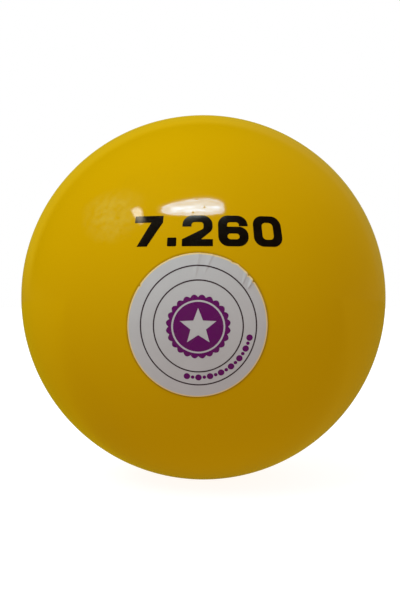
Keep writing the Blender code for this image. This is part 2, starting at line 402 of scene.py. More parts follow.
def vector_maths(tree, operation, first, second=(0, 0, 0)):
    """Arithmetic on two vectors. A length or a distance comes out as a value."""
    outputs = add_node(tree, "ShaderNodeVectorMath", {0: first, 1: second}, operation=operation).outputs
    return outputs["Value" if operation in ("LENGTH", "DISTANCE") else "Vector"]


def axes_of(tree, place):
    """The three coordinates of a place, by the names of their axes."""
    return add_node(tree, "ShaderNodeSeparateXYZ", {0: place}).outputs


def from_axis(tree, place):
    """How far a place is from the Z axis."""
    return vector_maths(tree, "LENGTH", vector_maths(tree, "MULTIPLY", place, (1, 1, 0)))


def bumped(tree, shader, height, depth):
    """Bump on a shader: a height of about 1 stands for the depth in metres."""
    bump = add_node(tree, "ShaderNodeBump", {"Height": height, "Distance": depth})
    feed(tree, shader, {"Normal": bump.outputs["Normal"]})


def painted_label_shadow(tree, place):
    """A painted shadow: a thin, patchy, darker line in the enamel just outside the label's edge, where the
    label shades the ball.
    """
    turned = place
    for axis, angle in (("Z_AXIS", -LABEL_AZIMUTH), ("X_AXIS", LABEL_ELEVATION), ("Y_AXIS", -LABEL_TILT)):
        inputs = {"Vector": turned, "Angle": math.radians(angle)}
        turned = add_node(tree, "ShaderNodeVectorRotate", inputs, rotation_type=axis).outputs[0]
    half_width = BALL_RADIUS * math.sin(LABEL_WIDTH / 2 / BALL_RADIUS)
    half_height = BALL_RADIUS * math.sin(LABEL_HEIGHT / 2 / BALL_RADIUS)
    flat = vector_maths(tree, "MULTIPLY", turned, (1 / half_width, 0, 1 / half_height))
    line = ranged(tree, vector_maths(tree, "LENGTH", flat), 1 + PAINTED_SHADOW_WIDTH / half_width, 1)
    front = ranged(tree, axes_of(tree, turned)["Y"], 0, -0.001)
    patchy = patches(tree, place, 260, 3, between=(0.6, 1.0))
    return maths(tree, "MULTIPLY", line, front, patchy)


def chips(tree, place):
    """Where the enamel has chipped off along the plug's seam."""
    from_seam = maths(tree, "ABSOLUTE", maths(tree, "SUBTRACT", from_axis(tree, place), COUNTERBORE_RADIUS))
    seam = ranged(tree, from_seam, CHIP_REACH, 0.0)
    above = ranged(tree, axes_of(tree, place)["Z"], *CHIP_HEIGHTS)
    grit = noise_at(tree, place, 900, 4, 0.7)
    return ranged(tree, maths(tree, "MULTIPLY", seam, grit, above), 0.40, 0.43)


def nibs(tree, place):
    """Dust under the gloss: the photograph's own nibs, and a few more scattered over the ball."""
    cells = add_node(tree, "ShaderNodeTexVoronoi", {"Vector": place, "Scale": 160.0}).outputs
    draw = add_node(tree, "ShaderNodeSeparateColor", {0: cells["Color"]}).outputs[0]
    rare = ranged(tree, draw, 0.93, 0.94)
    nib = maths(tree, "MULTIPLY", ranged(tree, cells["Distance"], 0.055, 0.0), rare)
    for azimuth, elevation in NIBS:
        off = vector_maths(tree, "DISTANCE", place, tuple(direction(azimuth, elevation) * BALL_RADIUS))
        nib = maths(tree, "ADD", nib, ranged(tree, off, NIB_RADIUS, 0.0))
    return nib


def enamel():
    """Glossy enamel with a faint orange peel, a few dust nibs, chips at the plug's seam, and a painted
    shadow round the label.
    """
    material, tree, shader, place = new_material("yellow_enamel")
    chip = chips(tree, place)
    colour = mixed(tree, patches(tree, place, 14, spread=(0.35, 0.65)), *YELLOW)
    colour = mixed(tree, chip, colour, IRON[0])
    # Painted shadow: the enamel darkened in a thin line round the label's edge
    colour = mixed(tree, painted_label_shadow(tree, place), colour, PAINTED_SHADOW_COLOUR)
    rough = patches(tree, place, 55, 3, 0.55, spread=(0.35, 0.75), between=(0.03, 0.07))
    rough = maths(tree, "ADD", rough, maths(tree, "MULTIPLY", chip, 0.4))
    feed(tree, shader, {"Base Color": colour, "Roughness": rough})
    fine = noise_at(tree, place, 420, 1)
    broad = noise_at(tree, place, 130, 1)
    peel = maths(tree, "ADD", maths(tree, "MULTIPLY", fine, 0.35), broad)
    height = maths(tree, "ADD", peel, maths(tree, "MULTIPLY", nibs(tree, place), 2.0))
    height = maths(tree, "SUBTRACT", height, maths(tree, "MULTIPLY", chip, 4.0))
    bumped(tree, shader, height, PEEL_DEPTH)
    return material


def cast_iron():
    """Machined and cast iron, seen only inside the filler hole."""
    material, tree, shader, place = new_material("cast_iron")
    colour = mixed(tree, noise_at(tree, place, 300, 3), *IRON)
    rough = patches(tree, place, 600, 3, between=(0.4, 0.6))
    feed(tree, shader, {"Base Color": colour, "Roughness": rough, "Metallic": 0.6})
    bumped(tree, shader, noise_at(tree, place, 1500, 3), CAST_DEPTH)
    return material


def turned_metal(name, colours, rough, groove):
    """Turned metal: fine tool grooves round Z, stains, and a roughness that varies."""
    material, tree, shader, place = new_material(name)
    colour = mixed(tree, patches(tree, place, 260, 4, 0.6, spread=(0.4, 0.7)), *colours)
    scratch = noise_at(tree, place, 2200)
    varied = ranged(tree, scratch, 0.3, 0.7, rough - 0.07, rough + 0.1)
    feed(tree, shader, {"Base Color": colour, "Roughness": varied, "Metallic": 1.0})
    way = maths(tree, "ADD", from_axis(tree, place), axes_of(tree, place)["Z"])
    grooves = maths(tree, "SINE", maths(tree, "MULTIPLY", way, math.tau / groove))
    height = maths(tree, "ADD", grooves, maths(tree, "MULTIPLY", scratch, 1.5))
    bumped(tree, shader, height, GROOVE_DEPTH)
    return material


def dull_lead():
    """Cast lead: grey, dull and pitted."""
    material, tree, shader, place = new_material("lead")
    colour = mixed(tree, patches(tree, place, 220, 5, 0.65, spread=(0.35, 0.7)), *LEAD)
    rough = patches(tree, place, 500, 3, between=(0.5, 0.75))
    feed(tree, shader, {"Base Color": colour, "Roughness": rough, "Metallic": 0.8})
    bumped(tree, shader, noise_at(tree, place, 700, 4, 0.6), PIT_DEPTH)
    return material


def felt():
    """Pressed grey felt with loose fibres."""
    material, tree, shader, place = new_material("felt")
    fibre = noise_at(tree, vector_maths(tree, "MULTIPLY", place, (1, 1, 3)), 2500, 5, 0.75)
    colour = giving_way(tree, fibre, (0.3, 0.7), *FELT)
    feed(tree, shader, {"Base Color": colour, "Roughness": 1.0, "Sheen Weight": 0.4})
    bumped(tree, shader, fibre, FIBRE_DEPTH)
    return material


def vinyl(name, colour):
    """Pale silvery vinyl with a fine grain and faint handling marks."""
    material, tree, shader, place = new_material(name)
    darker = tuple(channel * 0.95 for channel in colour)
    mottled = mixed(tree, patches(tree, place, 160, 4, 0.6), colour, darker)
    rough = patches(tree, place, 90, between=(0.30, 0.42))
    feed(tree, shader, {"Base Color": mottled, "Roughness": rough})
    bumped(tree, shader, noise_at(tree, place, 900, 3), VINYL_DEPTH)
    return material


def ink(name, colours, rough, grain):
    """Printed ink, a little uneven in its cover."""
    material, tree, shader, place = new_material(name)
    colour = mixed(tree, patches(tree, place, 500, 4, 0.6, spread=(0.35, 0.75)), *colours)
    varied = patches(tree, place, 120, 3, between=(rough - 0.05, rough + 0.08))
    feed(tree, shader, {"Base Color": colour, "Roughness": varied, "Specular Tint": INK_GLOSS})
    bumped(tree, shader, noise_at(tree, place, 380), grain)
    return material


# Pieces on the plug's axis


def ridge(distance_from_crest):
    """A thread's height, from 0 at its root to 1 at its flat crest, at a distance along the axis."""
    flank = THREAD_DEPTH / math.tan(math.radians(FLANK_ANGLE))
    return min(1, max(0, 1 - (distance_from_crest - THREAD_PITCH / 16) / flank))


def thread_row(root, crest, height, widen):
    """A ring of a right-handed thread: its radius goes in and out with the helix's height at each angle."""

    def row(angle):
        turns = (height / THREAD_PITCH - angle / 360) % 1
        from_crest = abs(turns - 0.5) * THREAD_PITCH
        return ring_point(angle, root + (crest - root) * ridge(from_crest - widen), height)

    return row


def thread_rows(root, crest, top, bottom, fade_root, widen=0):
    """Rows of a thread between two heights. It fades to a plain round wall over half a pitch at each end."""
    count = math.ceil((top - bottom) / THREAD_PITCH * THREAD_ROWS)
    rows = []
    for index in range(count + 1):
        height = top + (bottom - top) * index / count
        fade = min(1, (top - height) / THREAD_PITCH * 2, (height - bottom) / THREAD_PITCH * 2)
        base = fade_root + (root - fade_root) * fade
        rows.append(thread_row(base, base + (crest - root) * fade, height, widen))
    return rows


def make_shell(paint, iron):
    """The shell: enamelled outside, counterbore, tapped hole with its thread, pouring hole and cavity."""
    rim = COUNTERBORE_RADIUS + EDGE_BREAK
    rim_height = height_on_sphere(BALL_RADIUS, rim)
    rows = on_sphere(BALL_RADIUS, -90, elevation_on_sphere(BALL_RADIUS, rim), BALL_STEP)
    for inset, drop in rounding(EDGE_BREAK, (27, 54, 76.5)):
        rows.append(at(COUNTERBORE_RADIUS + inset, rim_height - drop - HAIR))
    rows += [at(COUNTERBORE_RADIUS, rim_height - breaks * EDGE_BREAK) for breaks in (1, 3)]
    painted = len(rows) - 1
    chamfer = THREAD_PITCH / 2
    rows += [
        at(COUNTERBORE_RADIUS, HEAD_SEAT + EDGE_BREAK),
        at(COUNTERBORE_RADIUS - EDGE_BREAK, HEAD_SEAT),
        at(BORE_RADIUS + chamfer, HEAD_SEAT),
        at(BORE_RADIUS, HEAD_SEAT - chamfer),
    ]
    root = THREAD_RADIUS - THREAD_DEPTH + CLEARANCE
    thread_top = HEAD_SEAT - chamfer - THREAD_START
    rows += thread_rows(root, BORE_RADIUS, thread_top, TAPPED_END, BORE_RADIUS, widen=THREAD_EASE)
    rows.append(at(DRILL_RADIUS, TAPPED_END - (BORE_RADIUS - DRILL_RADIUS)))
    rows += on_sphere(CAVITY_RADIUS, elevation_on_sphere(CAVITY_RADIUS, DRILL_RADIUS), -90, INSIDE_STEP)
    shell = loft("enamelled_shell", rows, BALL_SEGMENTS, second=range(painted, len(rows)))
    return dress(shell, "ball", "yellow_enamel", paint, iron, replaces="shell")


def socket_distance(angle):
    """The distance from the axis to the wall of the hexagon socket, its corners on the Y axis."""
    from_flat = (angle % 60) - 30
    return KEY_SIZE / 2 / math.cos(math.radians(30 - abs(from_flat)))


def make_plug(plate):
    """The plug: domed head under its coat of enamel, hexagon socket, neck and threaded shank."""
    top = BALL_RADIUS - PAINT_THICKNESS - HAIR
    outside = HEAD_RADIUS - PAINT_THICKNESS - HAIR
    mouth_height = height_on_sphere(top, SOCKET_MOUTH)

    def countersink(angle):
        distance = socket_distance(angle)
        drop = (SOCKET_MOUTH - distance) * SOCKET_SLOPE
        return ring_point(angle, distance, mouth_height - drop)

    def wall(height, inset=0.0):
        return lambda angle: ring_point(angle, socket_distance(angle) - inset, height)

    rows = [at(distance, SOCKET_FLOOR) for distance in SOCKET_FLOOR_RINGS]
    rows += [wall(SOCKET_FLOOR, SOCKET_FILLET), wall(SOCKET_FLOOR + SOCKET_FILLET)]
    rows += [wall(SOCKET_FLOOR + KEY_SIZE / 4), countersink]
    mouth = elevation_on_sphere(top, SOCKET_MOUTH)
    rim = elevation_on_sphere(top, outside - EDGE_BREAK)
    rows += on_sphere(top, mouth, rim, HEAD_STEP)
    rows += [
        at(outside, height_on_sphere(top, outside - EDGE_BREAK) - EDGE_BREAK),
        at(outside, HEAD_UNDERSIDE + EDGE_BREAK),
        at(outside - EDGE_BREAK, HEAD_UNDERSIDE),
        at(NECK_RADIUS + EDGE_BREAK, HEAD_UNDERSIDE),
        at(NECK_RADIUS, HEAD_UNDERSIDE - EDGE_BREAK),
    ]
    root = THREAD_RADIUS - THREAD_DEPTH
    thread_top = HEAD_UNDERSIDE - NECK_LENGTH
    rows += thread_rows(root, THREAD_RADIUS, thread_top, SHANK_END + THREAD_PITCH / 2, NECK_RADIUS)
    rows += [at(NECK_RADIUS - THREAD_PITCH / 4, SHANK_END), at(0, SHANK_END)]
    plug = loft("filler_plug", rows, PLUG_SEGMENTS)
    return dress(plug, "plug", "plated_steel", plate, replaces="screw_plug")


def make_plug_paint(paint):
    """The coat of enamel over the head, worn back unevenly round the socket where keys have scraped it."""
    inner = SOCKET_MOUTH + WORN_BACK
    under = BALL_RADIUS - PAINT_THICKNESS

    def worn(angle):
        place = turn_of(angle) * 3
        return inner + WEAR * noise.noise(place) + WEAR / 2 * noise.noise(place * 4)

    def dome(radius, share):
        def row(angle):
            edge = worn(angle)
            distance = edge + (HEAD_RADIUS - EDGE_BREAK - edge) * share
            return ring_point(angle, distance, height_on_sphere(radius, distance))

        return row

    count = 12
    rows = [dome(under, 0)]
    rows += [dome(BALL_RADIUS, 0.01 + 0.99 * index / count) for index in range(count + 1)]
    rim_height = height_on_sphere(BALL_RADIUS, HEAD_RADIUS - EDGE_BREAK)
    for inset, drop in rounding(EDGE_BREAK, (31.5, 63, 90)):
        rows.append(at(HEAD_RADIUS - inset, rim_height - drop - HAIR))
    skirt = rim_height - PAINT_SKIRT
    inside = HEAD_RADIUS - PAINT_THICKNESS
    rows += [at(HEAD_RADIUS, skirt), at(inside, skirt), at(inside, rim_height - EDGE_BREAK)]
    rows += [dome(under, 1 - index / count) for index in range(count)]
    coat = loft("plug_enamel", rows, PLUG_SEGMENTS, closed=True)
    return dress(coat, "plug", "yellow_enamel", paint)


def make_washer(metal):
    """The copper washer, its edges rolled by the press that cut it."""
    hole = NECK_RADIUS + CLEARANCE
    rows = []
    corners = (
        (hole, WASHER_HIGH.z, 1, -1),
        (hole, WASHER_LOW.z, 1, 1),
        (WASHER_RADIUS, WASHER_LOW.z, -1, 1),
        (WASHER_RADIUS, WASHER_HIGH.z, -1, -1),
    )
    for number, (distance, height, inward, upward) in enumerate(corners):
        ends = [(inward, 0), (0.3 * inward, 0.3 * upward), (0, upward)]
        if number % 2:
            ends.reverse()
        rows += [at(distance + ROLLED_EDGE * across, height + ROLLED_EDGE * along) for across, along in ends]
    washer = loft("copper_washer", rows, PLUG_SEGMENTS, closed=True)
    return dress(washer, "plug_slide", "copper", metal, replaces="sealing_washer")


# Pieces inside


def make_core(metal):
    """The lead filling with its riser and the drilled trim hole."""
    floor = min(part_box(name)[0].z for name in PELLETS) - CLEARANCE
    top = CORE_HIGH.z
    riser = DRILL_RADIUS - CLEARANCE
    trim = riser - TRIM_WALL
    rows = on_sphere(CORE_RADIUS, -90, elevation_on_sphere(CORE_RADIUS, riser), INSIDE_STEP)
    rows += [at(riser, top - LEAD_EDGE), at(riser - LEAD_EDGE, top), at(trim + LEAD_EDGE, top)]
    rows += [at(trim, top - LEAD_EDGE), at(trim, floor + LEAD_EDGE), at(trim - LEAD_EDGE, floor)]
    rows.append(at(0, floor))
    core = loft("lead_filling", rows, INSIDE_SEGMENTS)
    return dress(core, "ball", "lead", metal, replaces="lead_core")


def make_pellets(metal):
    """The trim pellets, each a little dented."""
    for number, name in enumerate(PELLETS, start=1):
        low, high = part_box(name)
        radius = (high.z - low.z) / 2
        bm = bmesh.new()
        bmesh.ops.create_icosphere(bm, subdivisions=3, radius=radius)
        for vertex in bm.verts:
            dent = noise.noise(vertex.co / radius * 1.5 + Vector((number * 7, 0, 0)))
            vertex.co *= 1 - PELLET_DENT * abs(dent)
            vertex.co += (low + high) / 2
        pellet = finished_mesh(f"lead_pellet_{number:02d}", bm)
        dress(pellet, "ball", "lead", metal, replaces=name)


def make_wad(cloth):
    """The felt disc, its faces a little uneven."""
    radius = WAD_HIGH.y

    def face(distance, height, side):
        def row(angle):
            bumps = noise.noise(turn_of(angle) * distance * FELT_GRAIN + Vector((0, 0, height * FELT_GRAIN)))
            return ring_point(angle, distance, height - side * FELT_BUMPS * abs(bumps))

        return row

    def half(height, side):
        rows = [at(0, height - side * FELT_BUMPS / 2)]
        rows += [face(radius * share - FELT_EDGE, height, side) for share in (0.3, 0.55, 0.8, 1)]
        for inset, drop in rounding(FELT_EDGE, (30, 60, 90)):
            rows.append(at(radius - inset, height - side * drop))
        return rows

    rows = half(WAD_HIGH.z, 1) + half(WAD_LOW.z, -1)[::-1]
    wad = loft("felt_wad", rows, INSIDE_SEGMENTS)
    return dress(wad, "ball", "felt", cloth, replaces="packing_wad")


# Label and its print

LABEL_TURN = Matrix.Rotation(math.radians(LABEL_AZIMUTH), 3, "Z") @ Matrix.Rotation(
    math.radians(-LABEL_ELEVATION), 3, "X"
)


def label_edge(clock):
    """How far the label's edge is from its middle at a clock angle: a tilted oval with nicks in it."""
    turn = math.radians(clock - LABEL_TILT)
    across = LABEL_HEIGHT * math.sin(turn)
    along = LABEL_WIDTH * math.cos(turn)
    edge = LABEL_WIDTH * LABEL_HEIGHT / 2 / math.hypot(across, along)
    for middle, half_width, depth in LABEL_NICKS:
        off = abs((clock - middle + 180) % 360 - 180) / half_width
        if off < 1:
            edge -= depth * (1 - off)
    return edge


def crease_lift(place):
    """How far creases lift the label off the ball at a place on it. It fades and narrows inwards."""
    lift = 0
    for inner, outer, height, flanks in LABEL_CREASES:
        line = Vector(outer) - Vector(inner)
        off = place - Vector(inner)
        share = off.dot(line) / line.length_squared
        side = off.cross(line) / line.length
        flank = flanks[side > 0] * min(1, 0.4 + 0.6 * share)
        if share > 0 and abs(side) < flank:
            lift += height * min(1, share / CREASE_FADE) * (1 - abs(side) / flank)
    return lift


def on_label(right, up, height, lifted=True):
    """A point over the label at distances right and up from its middle, measured along the ball."""
    if lifted:
        height += crease_lift(Vector((right, up)))
    bend = math.hypot(right, up) / BALL_RADIUS
    turn = math.atan2(right, up)
    outward = Vector((math.sin(bend) * math.sin(turn), -math.cos(bend), math.sin(bend) * math.cos(turn)))
    return LABEL_TURN @ outward * (BALL_RADIUS + height)


def clock_place(centre, clock, reach):
    """The place at a clock angle and a reach from a centre, as distances right and up."""
    turn = math.radians(clock)
    return centre[0] + reach * math.sin(turn), centre[1] + reach * math.cos(turn)


def make_label(sheet, cut):
    """The label: a thin sheet wrapped on the ball, lifted at its creases, with a pale, softly rounded cut
    edge whose cream is the yellow seen through it and a painted highlight.
    """

    def row(share, inset, height, lifted=True):
        def point(clock):
            reach = label_edge(clock) * share - inset
            return on_label(*clock_place((0, 0), clock, reach), height, lifted)

        return point

    coarse, fine = 12, 52
    smooth_end, flat_end = 0.6, 1 - 2 * LABEL_CUT_EDGE / LABEL_WIDTH
    shares = [smooth_end * index / coarse for index in range(1, coarse)]
    shares += [smooth_end + (flat_end - smooth_end) * index / fine for index in range(fine)]
    rows = [on_label(0, 0, LABEL_THICKNESS)]
    rows += [row(share, 0, LABEL_THICKNESS) for share in shares]
    rows.append(row(1, LABEL_CUT_EDGE, LABEL_THICKNESS))
    edge = len(rows) - 1
    for inset, drop in rounding(LABEL_EDGE_ROUND, (0, 30, 60, 90)):
        rows.append(row(1, inset, LABEL_THICKNESS - drop))
    rows.append(row(1, 0, HAIR, lifted=False))
    edge_end = len(rows) - 1
    rows += [row(share, 0, HAIR, lifted=False) for share in (0.8, 0.6, 0.4, 0.2)]
    rows.append(on_label(0, 0, HAIR, lifted=False))
    label = loft("round_label", rows, LABEL_SEGMENTS, second=range(edge, edge_end))
    return dress(label, "ball", "white_vinyl", sheet, cut, replaces="label")


def printed(name, centre, inner, outer, segments=240, steps=2):
    """A thin patch of print on the label between two reaches from a centre, given for each clock angle."""
    top = LABEL_THICKNESS + INK_THICKNESS
    foot = LABEL_THICKNESS - INK_THICKNESS

    def row(share, height):
        def point(clock):
            reach = inner(clock) + (outer(clock) - inner(clock)) * share
            return on_label(*clock_place(centre, clock, reach), height)

        return point

    rows = [row(index / steps, top) for index in range(steps + 1)]
    rows += [row(index / steps, foot) for index in reversed(range(steps + 1))]
    whole = inner(0) == 0
    if whole:
        rows[0], rows[-1] = on_label(*centre, top), on_label(*centre, foot)
    return loft(name, rows, segments, closed=not whole)


def joined(name, pieces):
    """Several meshes as one object."""
    bm = bmesh.new()
    for piece in pieces:
        bm.from_mesh(piece.data)
        bpy.data.objects.remove(piece)
    return finished_mesh(name, bm)


def oval(size, extra):
    """The reach of an oval's line at each clock angle, moved out by a little extra."""
    across, along = size

    def reach(clock):
        turn = math.radians(clock)
        return across * along / math.hypot(along * math.sin(turn), across * math.cos(turn)) + extra

    return reach


def seal_edge(clock):
    """The scalloped edge of the seal."""
    swell = abs(math.sin(math.radians(clock * SEAL_SCALLOPS / 2)))
    return SEAL_RADIUS - SCALLOP_DEPTH * (1 - swell)


def star_edge(clock):
    """A five-pointed star's edge, with one point up."""
    off = abs((clock % 72) - 36)
    point = math.radians(36 - off)
    notch = math.radians(36)
    over = STAR_RADIUS * STAR_NOTCH * math.sin(notch)
    return over / (STAR_RADIUS * math.sin(point) + STAR_NOTCH * math.sin(notch - point))


def make_label_print(purple, dark):
    """The two ring lines, the seal and the row of beads."""
    rings = []
    for number, size in enumerate((OUTER_RING, INNER_RING)):
        inner, outer = oval(size, -RING_LINE / 2), oval(size, RING_LINE / 2)
        rings.append(printed(f"ring_{number}", PRINT_CENTRE, inner, outer, segments=720))
    dress(joined("label_rings", rings), "ball", "purple_print", dark)

    low, high = SEAL_BAND
    rim = printed("seal_rim", PRINT_CENTRE, lambda clock: high, seal_edge, steps=3)
    field = printed("seal_field", PRINT_CENTRE, star_edge, lambda clock: low, steps=6)
    dress(joined("label_seal", [rim, field]), "ball", "purple_print", purple)

    beads = []
    start, end = BEAD_CLOCKS
    reach = (sum(OUTER_RING) + sum(INNER_RING)) / 4
    for number in range(BEAD_COUNT):
        place = clock_place(PRINT_CENTRE, start + (end - start) * number / (BEAD_COUNT - 1), reach)
        radius = BEAD_RADII[number % 2]
        beads.append(printed(f"bead_{number}", place, lambda clock: 0, lambda clock: radius, segments=32))
    dress(joined("label_beads", beads), "ball", "purple_print", purple)


# Printed figures


def rounded(corners):
    """An outline from corners (right, up, radius), with each corner that has a radius turned as an arc."""
    outline = []
    for index, (right, up, radius) in enumerate(corners):
        here = Vector((right, up))
        if radius == 0:
            outline.append(here)
            continue
        before = (Vector(corners[index - 1][:2]) - here).normalized()
        after = (Vector(corners[(index + 1) % len(corners)][:2]) - here).normalized()
        half = before.angle(after) / 2
        centre = here + (before + after).normalized() * radius / math.sin(half)
        start = here + before * radius / math.tan(half) - centre
        end = here + after * radius / math.tan(half) - centre
        sweep = start.angle_signed(end)
        for step in range(ARC_STEPS + 1):
            outline.append(centre + Matrix.Rotation(-sweep * step / ARC_STEPS, 2) @ start)
    return outline


def rectangle(left, low, right, high, radius):
    """The corners of a rectangle, all of one radius."""
    return [(left, low, radius), (right, low, radius), (right, high, radius), (left, high, radius)]


def digit_corners(character):
    """The corners of one figure's outlines, its outer edge first and any hole after it."""
    width, height = DIGIT_WIDTH, MARK_HEIGHT
    bar = 0.8 * STROKE
    left, right, top = STROKE, width - STROKE, height - bar
    big, small = 0.34 * width, 0.1 * width
    if character == ".":
        return [rectangle(0, 0, STROKE, STROKE, DOT_ROUND)]
    if character == "7":
        foot = 0.16 * width
        outer = [(0, height, 0), (0, top, 0), (width - 1.35 * STROKE, top, 0), (foot, 0, 0)]
        outer += [(foot + 1.15 * STROKE, 0, 0), (width, top, 0), (width, height, 0)]
        return [outer]
    if character == "2":
        lip = 0.63 * height
        outer = [(0, 0, 0), (width, 0, 0), (width, bar, 0), (0.62 * width, bar, 0)]
        outer += [(width, 0.52 * height, 0.8 * big), (width, height, big), (0, height, big)]
        outer += [(0, lip, 0), (left, lip, 0), (left, top, small), (right, top, small)]
        outer += [(right, 0.56 * height, small), (0, bar, 0)]
        return [outer]
    if character == "6":
        waist, lip = 0.63 * height, 0.65 * height
        outer = [(0, 0, big), (width, 0, big), (width, waist, 0.9 * big), (left, waist, 0)]
        outer += [(left, top, small), (right, top, small), (right, lip, 0), (width, lip, 0)]
        outer += [(width, height, big), (0, height, big)]
        return [outer, rectangle(left, bar, right, waist - bar, small)]
    return [rectangle(0, 0, width, height, big), rectangle(left, bar, right, top, 1.4 * small)]


def on_ball(right, up, height):
    """A point over the ball at distances right and up from the middle of the printed figures."""
    elevation = MARK_ELEVATION + math.degrees(up / BALL_RADIUS)
    around = BALL_RADIUS * math.cos(math.radians(MARK_ELEVATION))
    azimuth = MARK_AZIMUTH + math.degrees(right / around)
    return direction(azimuth, elevation) * (BALL_RADIUS + height)


def make_mark(paint):
    """The figures, printed on the ball in thick black enamel."""
    widths = [STROKE if character == "." else DIGIT_WIDTH for character in MARK_TEXT]
    whole = sum(widths) + DIGIT_GAP * (len(widths) - 1)
    bm = bmesh.new()
    left = -whole / 2
    for character, width in zip(MARK_TEXT, widths):
        shift = Vector((left, -MARK_HEIGHT / 2))
        outlines = [rounded(corners) for corners in digit_corners(character)]
        flat = [[(point + shift).to_3d() for point in outline] for outline in outlines]
        corners = [bm.verts.new(point) for outline in flat for point in outline]
        for triangle in tessellate_polygon(flat):
            bm.faces.new([corners[index] for index in triangle])
        left += width + DIGIT_GAP
    # Cut into small cells, so that the print follows the round of the ball
    for across, reach in (((1, 0, 0), whole / 2), ((0, 1, 0), MARK_HEIGHT / 2)):
        normal = Vector(across)
        count = math.ceil(2 * reach / PRINT_CELL)
        for index in range(1, count):
            place = normal * (-reach + 2 * reach * index / count)
            geometry = list(bm.verts) + list(bm.edges) + list(bm.faces)
            bmesh.ops.bisect_plane(bm, geom=geometry, plane_co=place, plane_no=normal, dist=MERGE_DISTANCE)
    lifted = bmesh.ops.extrude_face_region(bm, geom=list(bm.faces))["geom"]
    tops = {element for element in lifted if isinstance(element, bmesh.types.BMVert)}
    for vertex in bm.verts:
        height = MARK_THICKNESS if vertex in tops else -MARK_THICKNESS / 2
        vertex.co = on_ball(vertex.co.x, vertex.co.y, height)
    mark = finished_mesh("printed_figures", bm)
    return dress(mark, "ball", "black_print", paint)


# Camera, lamps and surroundings

CAMERA_PLACE = (-0.00110, -0.300, -0.00086)
CAMERA_LENS = 53.56
SENSOR_WIDTH = 36

# The floor, white to the camera with a matt part that takes the ball's shadow
FLOOR_RADIUS = 6.0
FLOOR_WHITE = (0.88, 0.88, 0.88)
FLOOR_MATT = (0.3, 0.3, 0.3, 1)

# Diffuse light: an even room, a brighter floor close to the ball, and a soft key from the upper left
ROOM_UP = (0.74, 0.69, 0.67)
ROOM_LEVEL = (0.65, 0.57, 0.54)
ROOM_DOWN = (0.60, 0.515, 0.49)
BOUNCE = 1.35
BOUNCE_REACH = 0.10
KEY_PLACE = (-50, 57)
KEY_STRENGTH = 1.85
KEY_COLOUR = (0.82, 1.0, 1.0)
KEY_ANGLE = 50

# What gloss mirrors: a dim room in front, and behind the ball one about as bright as the ball itself, with
# a darker ceiling over a bright far wall. All but the front have a stretch to the right, and their colours
# at its two ends
MIRRORED_FRONT = (0.010, 0.009, 0.008)
MIRRORED_ROOM = ((-1, 1), (0.42, 0.30, 0.010), (0.38, 0.26, 0.042))
MIRRORED_CEILING = ((0.1, 0.7), (0.19, 0.14, 0.0), (0.38, 0.28, 0.03))
MIRRORED_WALL = ((0.0, 0.3), (0.57, 0.43, 0.02), (0.40, 0.31, 0.058))
MIRRORED_FLOOR = ((-BALL_RADIUS, BALL_RADIUS), (0.42, 0.32, 0.006), (0.34, 0.24, 0.022))

# The stretches over which one of them gives way to the next, going back or up
FRONT_TO_ROOM = (-0.3, 0.6)
FRONT_TO_FLOOR = (-0.035, 0.005)
ROOM_TO_CEILING = (0.0, 0.15)
CEILING_TO_WALL = (0.655, 0.76)

# The lamps that gloss mirrors. Each is a bowed band, with the azimuth and elevation of its upper and lower
# edge at the left, in the middle and at the right: the outline where its glow ends and the core where it is
# full. Then come its glow at shares of the way in, its strength and colour, and its mottling
PANEL_DISTANCE = 1.0
END_ROUNDNESS = 5
PANELS = {
    "glare": {
        "outline": (((-40.5, 52.3), (-6, 60.8), (20.5, 57.8)), ((-37.5, 45.8), (-8, 46.2), (18.5, 46.8))),
        "core": (((-25, 51.4), (-6, 53.3), (13, 53)), ((-24, 48.4), (-8, 49.7), (12, 49.9))),
        "glow": ((0.25, 0.05), (0.42, 0.7), (0.55, 0.55), (0.82, 0.65), (1, 1)),
        "strength": 26.0,
        "colour": (0.46, 0.70, 1.0),
        "mottle": (6, 50, 50),
        "dark": 0.5,
    },
    "side_glare": {
        "outline": (((-60.5, 46), (-51.5, 48.6), (-42, 40.5)), ((-60, 45.5), (-52.5, 42.2), (-44.5, 38))),
        "core": (((-57, 45.8), (-51.5, 46.6), (-46, 42)), ((-56.5, 45), (-52, 43.6), (-47, 41))),
        "glow": ((1, 1),),
        "strength": 13.0,
        "colour": (0.78, 0.92, 1.0),
        "mottle": (45, 45, 45),
        "dark": 0.4,
    },
    "haze": {
        "outline": (((-106, 38), (-86, 54), (-50, 56)), ((-98, 32), (-67, 24.5), (-42, 35))),
        "core": (((-80, 42), (-73, 46), (-66, 51)), ((-77, 38), (-65, 34.5), (-59, 42))),
        "glow": ((0.5, 0.4), (1, 1)),
        "strength": 1.55,
        "colour": (0.4, 1.0, 0.42),
        "mottle": (15, 15, 15),
        "dark": 0.0,
    },
}

# Soft boxes for bare metal alone: their azimuth and elevation, size and power
METAL_BOX_DISTANCE = 0.8
METAL_BOX_ASPECT = 1.6
METAL_BOXES = {
    "metal_box_left": ((-60, 30), 0.7, 3.0),
    "metal_box_right": ((60, 20), 0.6, 2.0),
    "metal_box_back": ((170, 35), 0.8, 2.5),
    "metal_box_top": ((10, 80), 0.7, 1.6),
}


def make_camera():
    """The camera, level and square to the ball's front, at the photograph's distance."""
    data = bpy.data.cameras.new("photo_camera")
    data.lens = CAMERA_LENS
    data.sensor_width = SENSOR_WIDTH
    camera = in_scene("photo_camera", data)
    camera.location = CAMERA_PLACE
    camera.rotation_euler = (math.radians(90), 0, 0)
    bpy.context.scene.camera = camera


